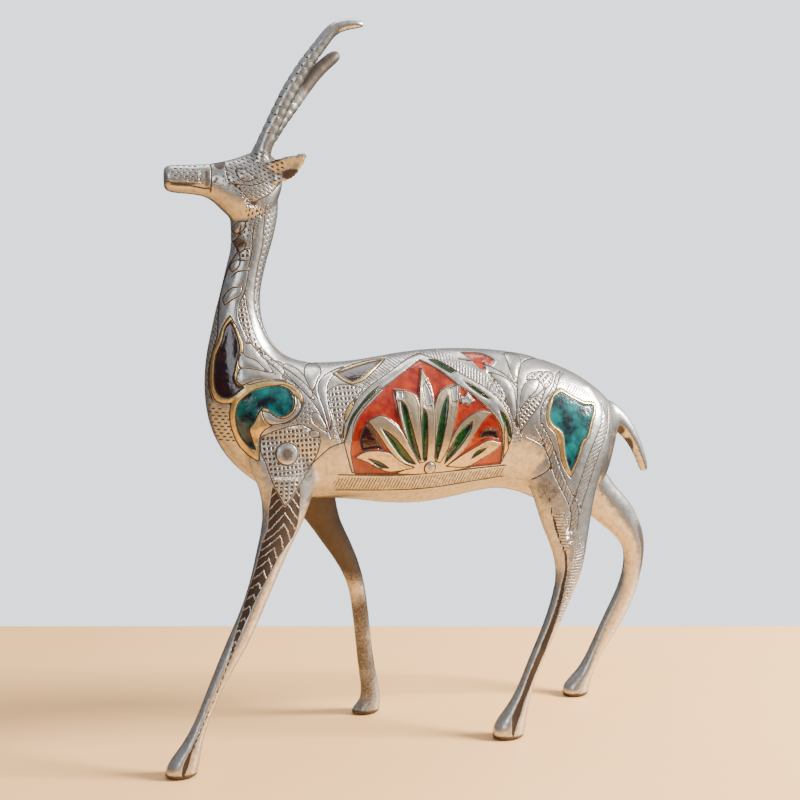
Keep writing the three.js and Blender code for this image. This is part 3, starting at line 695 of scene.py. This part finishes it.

# %% [markdown]
# ## Dark patina, painted shade and a painted floor glow
# Handling keeps the high places bright, and what is sheltered goes brown and black: the hidden side
# of the right fore leg, the back of the right shank, the underside of the tail, the ear and the bands
# behind the muzzle. Under the belly, by the fore legs, the same map paints shade. These patches have no
# drawn edge, so a soft map holds them. A second map gives the faces that turn down a straw tint: a
# painted reflection of the warm floor.

# %% Maps of the dark patina, painted shade and a painted floor glow
PATINA_AND_SHADE_SPOTS = (
    ((-66.5, -8, 250), (4.5, 9, 6), 0.75),
    ((-60, -12, 240.5), (5, 9, 2.6), 0.9),
    ((-60, 12, 240.5), (5, 9, 2.6), 0.9),
    ((-76, 0, 229), (6, 14, 2.4), 0.65),
    ((-80.5, 0, 213), (4, 14, 3.6), 0.6),
    ((-93.8, 0, 239), (2.2, 12, 6), 0.55),
    ((-88.5, 0, 245), (3, 12, 4), 0.85),
    ((-103, 0, 236.4), (8, 12, 1.3), 0.7),
    # Painted shade: this spot darkens the belly just behind the left fore leg.
    ((-50, -20, 108), (9, 10, 6), 0.6),
    ((-56, -20, 120), (3.4, 10, 7), 0.55),
    ((-52, -22, 135), (5, 12, 2.4), 0.4),
    ((46, -20, 127), (4, 12, 6), 0.4),
    ((50, -20, 108), (6, 12, 9), 0.45),
    ((91, 0, 130.5), (5.5, 6, 3.2), 0.9),
    ((97.4, 0, 121), (3, 6, 8), 0.9),
    ((-36, 20, 84), (9, 9, 24), 0.6),
    ((-22, 22, 30), (16, 14, 38), 0.5),
    ((-64.8, 0, 127.4), (4.4, 40, 4.4), 0.62),
    ((-3.5, 0, 119.2), (2.4, 40, 2.4), 0.45),
    ((56, -20, 104), (8, 14, 12), 0.36),
)
patina = np.zeros(len(points))
for centre, radii, strength in PATINA_AND_SHADE_SPOTS:
    spread = np.linalg.norm((points - centre) / radii, axis=1)
    patina = np.maximum(patina, strength * (1 - soft_step(spread, 0.55, 1.15)))
own = legs["right_fore"]
inner = 1 - soft_step(normals[own, 1], 0.1, 0.5)
patina[own] = np.maximum(patina[own], 0.9 * inner * soft_step(points[own, 2], 50, 78))
# Painted shade: on the far side, under the belly and above the right fore leg, the faces that turn inwards
# are darkened.
armpit = (points[:, 1] > 2) & (points[:, 0] < -20) & (points[:, 0] > -75) & (points[:, 2] < 109)
armpit &= points[:, 2] >= LEG_TOP - 4
patina[armpit] = np.maximum(patina[armpit], 0.95 * (1 - soft_step(normals[armpit, 1], 0.1, 0.5)))
own = legs["right_hind"]
shank = soft_step(points[own, 2], 46, 68) * (1 - soft_step(points[own, 2], 74, 98))
patina[own] = np.maximum(patina[own], 0.85 * shank * soft_step(leg_share[own], 0.5, 0.9))
own = horns["far"]
patina[own] = np.maximum(patina[own], 0.9 * soft_step(horn_along[own], 26, 50))
for own in legs.values():
    hoof = 1 - soft_step(points[own, 2], 1.2, 3)
    patina[own] = np.maximum(patina[own], 0.8 * hoof)
# Painted reflection: the faces that turn down get a straw tint that stands for the warm floor they mirror.
warmth = soft_step(-normals[:, 2], -0.3, 0.8)
print("share of the skin under patina:", round(float((patina > 0.3).mean()), 3))

# %% [markdown]
# ## Handing the maps to the material
# A shader reads a vertex's numbers through named attributes. Each field is stored in millimetres, so
# that the widths in the material are real sizes too.

# %% Store the maps on the mesh
maps = dict(field)
maps.update(groove=groove, cut=cut, cut_gap=cut_gap, patina=patina, warmth=warmth, eye=eye,
            notch=horn_notch, horn_back=horn_back, boss=boss_ring, knob=knob_ring,
            along=pattern[:, 0], across=pattern[:, 1])
for name, values in maps.items():
    attribute = deer.data.attributes.new(name=name, type="FLOAT", domain="POINT")
    attribute.data.foreach_set("value", values.astype(np.float32))
bpy.ops.object.select_all(action="DESELECT")
deer.select_set(True)
bpy.context.view_layer.objects.active = deer
bpy.ops.object.shade_smooth()
print("maps on the mesh:", len(maps))

# %% [markdown]
# ## Writing a material as sums
# A material made of hundreds of linked nodes is easier to read as arithmetic. A wire stands for one
# output socket, and adding or multiplying wires adds the Math nodes. Every other kind of node comes
# from one method, which makes its settings first and then fills its sockets.

# %% Wires and the bench that makes nodes


class Wire:
    """One output socket. Arithmetic on wires adds Math nodes."""

    def __init__(self, bench, socket):
        self.bench = bench
        self.socket = socket

    def math(self, operation, *values):
        sockets = dict(enumerate((self,) + values))
        return self.bench.node("ShaderNodeMath", {"operation": operation}, sockets)

    def __add__(self, other):
        return self.math("ADD", other)

    def __sub__(self, other):
        return self.math("SUBTRACT", other)

    def __rsub__(self, other):
        return self.bench.node("ShaderNodeMath", {"operation": "SUBTRACT"}, {0: other, 1: self})

    def __mul__(self, other):
        return self.math("MULTIPLY", other)

    def __truediv__(self, other):
        return self.math("DIVIDE", other)

    def __abs__(self):
        return self.math("ABSOLUTE")

    __radd__ = __add__
    __rmul__ = __mul__

    def most(self, other):
        return self.math("MAXIMUM", other)

    def wave(self, pitch):
        """Distance in mm from the nearest of evenly spaced lines."""
        return abs((self / pitch).math("FRACT") - 0.5) * pitch

    def edge(self, blur=0.12):
        """1 where the wire is above zero and 0 below, with a narrow blur."""
        sockets = {"Value": self, "From Min": -blur, "From Max": blur}
        return self.bench.node("ShaderNodeMapRange", {"interpolation_type": "SMOOTHSTEP"}, sockets)


class Bench:
    """Makes the nodes of one material, or of the world."""

    def __init__(self, owner):
        owner.use_nodes = True
        self.tree = owner.node_tree
        self.tree.nodes.clear()

    def node(self, kind, settings=None, sockets=None, output=0):
        node = self.tree.nodes.new(kind)
        for name, value in (settings or {}).items():
            setattr(node, name, value)
        for name, value in (sockets or {}).items():
            if isinstance(value, Wire):
                self.tree.links.new(value.socket, node.inputs[name])
            else:
                node.inputs[name].default_value = value
        return Wire(self, node.outputs[output]) if node.outputs else None

    def map(self, name):
        """A field stored on the mesh."""
        return self.node("ShaderNodeAttribute", {"attribute_name": name}, output="Fac")

    def mix(self, share, low, high):
        """A blend of two colours."""
        sockets = {0: share, 6: low, 7: high}
        return self.node("ShaderNodeMix", {"data_type": "RGBA"}, sockets, output=2)

    def blend(self, share, low, high):
        """A blend of two numbers."""
        return low + (high - low) * share


print("a bench is ready for the material")

# %% [markdown]
# ## The metal, its cuts and the enamel
# White metal is a mirror that years of polishing have scratched: a bright base with a slightly uneven
# gloss and a faint hammered wave. Cuts hold black-brown oxide, which is rough and hardly metallic.
# The enamel is coloured glass over metal: a deep colour that shifts within a cell, a little metallic
# glow from the ground below it, and a clear coat on top.

# %% Place patterns on the metal
finish = bpy.data.materials.new("engraved_white_metal")
bench = Bench(finish)
place = bench.node("ShaderNodeTexCoord", output="Object")
place = bench.node("ShaderNodeVectorMath", {"operation": "SCALE"}, {0: place, "Scale": 1 / MM})
SILVER = (0.57, 0.56, 0.54, 1)
STRAW = (0.48, 0.40, 0.24, 1)
GOLD = (0.80, 0.52, 0.13, 1)
OXIDE = (0.014, 0.011, 0.010, 1)
BROWN_OXIDE = (0.060, 0.034, 0.018, 1)


def noise(scale, detail=3, roughness=0.55):
    """Cloudy values round a half, with patches of about 1/scale mm."""
    return bench.node("ShaderNodeTexNoise", None,
                      {"Vector": place, "Scale": scale, "Detail": detail, "Roughness": roughness})


along = bench.map("along")
across = bench.map("across")
ragged = noise(1.1) - 0.5
broad = noise(0.09)
fine = noise(0.55)
grain = bench.node("ShaderNodeTexVoronoi", {"feature": "F1"}, {"Vector": place, "Scale": 0.62})

# %% [markdown]
# ## The marks of the tools
# Each tool leaves its own mark: a graver a thin line, a chisel rows of dashes, a punch small pits. An
# image could hold them, but here a mark is a distance from evenly spaced lines, bent by a little
# noise, so it stays sharp however near the camera comes.

# %% Lines, pits and strokes
line_cut = (0.27 - abs(bench.map("cut")) + ragged * 0.22).edge(0.12)
line_cut = line_cut * (0.75 - bench.map("cut_gap")).edge(0.2)
rims = None
for name in INLAYS + METALS:
    rim = (0.24 - abs(bench.map(name)) + ragged * 0.16).edge(0.12)
    rims = rim if rims is None else rims.most(rim)
pit_rows = ((across + ragged * 0.7).wave(2.1) - 0.4).edge(0.16)
grid_pits = ((along + ragged * 1.3).wave(1.7) - 0.3).edge(0.2) * pit_rows
grid_pits = grid_pits * (bench.map("grid") - 0.35).edge()
stroke_lines = (0.26 - (along + across * 0.35 + ragged * 0.8).wave(1.35)).edge(0.14)
stroke_lines = stroke_lines * bench.map("strokes").edge(0.3) * (fine - 0.36).edge(0.08)
row = (across / 1.45).math("FLOOR")
dash_length = (0.6 - (along + row * 1.1 + ragged * 0.6).wave(2.3)).edge(0.2)
dash_marks = dash_length * (0.3 - (across + ragged * 0.3).wave(1.45)).edge(0.14)
dash_marks = dash_marks * bench.map("dashes").edge(0.3)
rope_lines = (0.34 - (along + across * 1.15).wave(2.3)).edge(0.14) * bench.map("rope").edge(0.15)
stipple = (0.36 - grain).edge(0.1) * bench.map("pits").edge(0.5)
v_shape = along + abs(across) * 1.25
herring_cuts = (0.32 - (v_shape + ragged * 2.2).wave(4.6)).edge(0.14) * (bench.map("herring") - 0.2).edge()
horn_lines = (bench.map("notch") - 0.62).edge(0.16) * (0.95 - bench.map("horn_back") + ragged).edge(0.3)
groove_dark = (bench.map("groove") + ragged * 0.5).edge(0.16)
rings = (0.3 - abs(bench.map("boss"))).edge().most((0.25 - abs(bench.map("knob"))).edge())
rings = rings.most((0.34 - abs(bench.map("eye"))).edge())

# %% [markdown]
# ## Oxide and bare metal
# Polishing keeps the high places bright, and black oxide stays in the cuts. The colour is laid in the
# order of the work: bare metal, its straw stains and, on the faces that turn down, a painted straw
# reflection of the warm floor, gilt rims, then oxide where a mark or a sheltered place holds it, with
# painted shade under the belly.

# %% Oxide over metal
cuts = line_cut.most(rims).most(stroke_lines * 0.85).most(dash_marks).most(rope_lines * 0.9)
cuts = cuts.most(stipple * 0.8).most(horn_lines).most(rings * 0.9)
pits = grid_pits.most(groove_dark * (1 - herring_cuts * 0.95))
patina_map = bench.map("patina")
# Dark patina, and painted shade under the belly, from the map.
soot_and_shade = ((patina_map + (broad - 0.5) * 0.5 + ragged * 0.35 - 0.42) * 2.2).edge(0.55)
# Straw stains at random, plus the painted floor reflection on the faces that turn down.
stain_and_floor_glow = (((noise(0.16, 4) - 0.6) * 4).edge(0.5) * 0.32).most(bench.map("warmth") * 0.6)
dark = cuts.most(pits).most(soot_and_shade * 0.94)
gilt = bench.map("gold").edge().most(bench.map("petal").edge() * 0.5)
gilt = gilt.most(bench.map("petal_b").edge() * 0.5)
metal = bench.mix(stain_and_floor_glow, SILVER, STRAW)
metal = bench.mix(gilt * (0.55 + fine * 0.5), metal, GOLD)
oxide = bench.mix(broad, OXIDE, BROWN_OXIDE)
surface = bench.mix(dark, metal, oxide)
tarnish = ((fine - 0.56) * 3).edge(0.6) * 0.35
surface = bench.mix(tarnish, surface, BROWN_OXIDE)

# %% [markdown]
# ## Enamel in the cells
# Melted glass fills a cell from wall to wall and hides the metal below. So its colour goes on last,
# and the same share that places it gives the cell a clear coat and takes the metal's shine away.

# %% Enamel over both
ENAMELS = {
    "maroon": ((0.004, 0.0002, 0.0006, 1), (0.025, 0.0004, 0.002, 1)),
    "red": ((0.14, 0.0012, 0.0001, 1), (0.30, 0.027, 0.0002, 1)),
    "teal": ((0.0001, 0.0025, 0.008, 1), (0.0003, 0.12, 0.125, 1)),
    "green": ((0.0002, 0.007, 0.001, 1), (0.004, 0.05, 0.002, 1)),
}
shift = ((noise(0.17, 2) - 0.5) * 3.4 + 0.5).math("MAXIMUM", 0).math("MINIMUM", 1)
enamel = None
for name, (deep, light) in ENAMELS.items():
    inside_cell = (bench.map(name) - 0.16 + ragged * 0.2).edge(0.08)
    surface = bench.mix(inside_cell, surface, bench.mix(shift, deep, light))
    enamel = inside_cell if enamel is None else enamel.most(inside_cell)
metal_gloss = 0.2 + fine * 0.16 + broad * 0.06
roughness = bench.blend(dark, metal_gloss, 0.55)
roughness = bench.blend(enamel, roughness, 0.16)
metallic = bench.blend(dark, 1.0, 0.35)
metallic = bench.blend(enamel, metallic, 0.05)

hammered = noise(0.2, 2) * 0.22 + fine * 0.05
relief = hammered - (cuts * 0.12 + pits * 0.16) * (1 - enamel)
relief = relief + enamel * noise(0.35, 2) * 0.22
bump = bench.node("ShaderNodeBump", None, {"Strength": 1.0, "Distance": MM, "Height": relief})
shader = bench.node("ShaderNodeBsdfPrincipled", None, {
    "Base Color": surface, "Metallic": metallic, "Roughness": roughness, "Normal": bump,
    "Coat Weight": enamel * 0.45, "Coat Roughness": 0.08, "IOR": 1.5,
})
bench.node("ShaderNodeOutputMaterial", None, {"Surface": shader})
deer.data.materials.clear()
deer.data.materials.append(finish)
print("nodes in the material:", len(bench.tree.nodes))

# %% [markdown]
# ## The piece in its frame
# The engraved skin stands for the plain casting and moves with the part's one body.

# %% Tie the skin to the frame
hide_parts("deer")
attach(deer, "root")

# %% [markdown]
# ## The floor
# Polished metal shows what stands around it, so the plain pale floor has a warm colour that gives the
# undersides their golden glow. A single plane would do, but a thin slab keeps a clean edge behind
# the figure.

# %% A plain pale floor
CAMERA_TURN = math.radians(-16.5)
FLOOR_LENGTH = 1.3
FLOOR_DEPTH = 1.0
FLOOR_BEHIND = 0.168
FLOOR_RIGHT = 0.24
FLOOR_THICKNESS = 0.03
to_the_front = Vector((math.sin(CAMERA_TURN), -math.cos(CAMERA_TURN), 0))
to_the_right = Vector((math.cos(CAMERA_TURN), math.sin(CAMERA_TURN), 0))
middle = to_the_front * (FLOOR_DEPTH / 2 - FLOOR_BEHIND) + to_the_right * (FLOOR_RIGHT - FLOOR_LENGTH / 2)
middle.z = -FLOOR_THICKNESS / 2
bpy.ops.object.select_all(action="DESELECT")
bpy.ops.mesh.primitive_cube_add(size=1, location=middle)
floor = bpy.context.object
floor.name = "floor"
floor.scale = (FLOOR_LENGTH, FLOOR_DEPTH, FLOOR_THICKNESS)
floor.rotation_euler = (0, 0, CAMERA_TURN)
bpy.ops.object.transform_apply(location=True, rotation=True, scale=True)
floor_finish = bpy.data.materials.new("pale_floor")
ground = Bench(floor_finish)
ground_place = ground.node("ShaderNodeTexCoord", output="Object")
cloud = ground.node("ShaderNodeTexNoise", None, {"Vector": ground_place, "Scale": 7.0, "Detail": 2})
ground_colour = ground.mix(cloud, (0.93, 0.50, 0.18, 1), (0.97, 0.58, 0.25, 1))
ground_sockets = {"Base Color": ground_colour, "Roughness": 0.5}
ground_shader = ground.node("ShaderNodeBsdfPrincipled", None, ground_sockets)
ground.node("ShaderNodeOutputMaterial", None, {"Surface": ground_shader})
floor.data.materials.append(floor_finish)
print("floor in m:", [round(v, 3) for v in floor.dimensions])

# %% [markdown]
# ## The light
# One large soft light from the right and above draws the highlights, and two faint ones open the
# shadows. Metal also needs something to reflect. A ring of large lamps would do, but a world colour
# that brightens upwards and towards the main light gives the same reflections with less to set up.

# %% Soft light
LIGHTS = (
    ("key", (0.85, -0.30, 0.62), 0.26, 46.0, (1.0, 0.96, 0.90)),
    ("top", (0.1, 0.25, 1.1), 0.6, 5.0, (1.0, 0.99, 0.98)),
    ("fill", (-0.6, -0.9, 0.5), 0.4, 2.0, (0.90, 0.95, 1.0)),
)
AIM = Vector((0, 0, 0.14))
for name, place_at, size, power, colour in LIGHTS:
    bpy.ops.object.light_add(type="AREA", location=place_at)
    light = bpy.context.object
    light.name = name + "_light"
    light.data.size = size
    light.data.energy = power
    light.data.color = colour
    light.rotation_euler = (AIM - light.location).to_track_quat("-Z", "Y").to_euler()

world = bpy.data.worlds.new("pale_surroundings")
surround = Bench(world)
heading = surround.node("ShaderNodeTexCoord", output="Generated")
height_seen = surround.node("ShaderNodeSeparateXYZ", None, {0: heading}, output="Z")
bright_side = surround.node("ShaderNodeVectorMath", {"operation": "DOT_PRODUCT"},
                        {0: heading, 1: (0.80, -0.25, 0.55)}, output="Value")
upper_half = (height_seen - 0.35).edge(0.45)
bright_patch = (bright_side - 0.7).edge(0.35)
surround_colour = surround.mix(upper_half, (0.10, 0.12, 0.15, 1), (0.50, 0.52, 0.55, 1))
surround_colour = surround.mix(bright_patch, surround_colour, (1.3, 1.25, 1.18, 1))
seen = surround.node("ShaderNodeLightPath", output="Is Camera Ray")
surround_colour = surround.mix(seen, surround_colour, (1.75, 1.86, 1.95, 1))
background = surround.node("ShaderNodeBackground", None, {"Color": surround_colour, "Strength": 1.0})
surround.node("ShaderNodeOutputWorld", None, {"Surface": background})
bpy.context.scene.world = world
print("lights:", [light[0] for light in LIGHTS])

# %% [markdown]
# ## The camera
# The camera looks at the left flank from a little in front of it and five degrees above, from about
# half a metre away, as one would look at a thing of this size.

# %% The camera
CAMERA_TARGET = Vector((-0.0111, 0.0001, 0.1465))
CAMERA_DISTANCE = 0.540
CAMERA_RISE = math.radians(5)
LENS = 56.18
back_of_camera = Vector((math.sin(CAMERA_TURN) * math.cos(CAMERA_RISE),
                         -math.cos(CAMERA_TURN) * math.cos(CAMERA_RISE), math.sin(CAMERA_RISE)))
bpy.ops.object.camera_add(location=CAMERA_TARGET + CAMERA_DISTANCE * back_of_camera)
camera = bpy.context.object
camera.data.lens = LENS
camera.data.sensor_width = 36
camera.rotation_euler = (-back_of_camera).to_track_quat("-Z", "Y").to_euler()
bpy.context.scene.camera = camera
print("camera at", [round(v, 3) for v in camera.location])
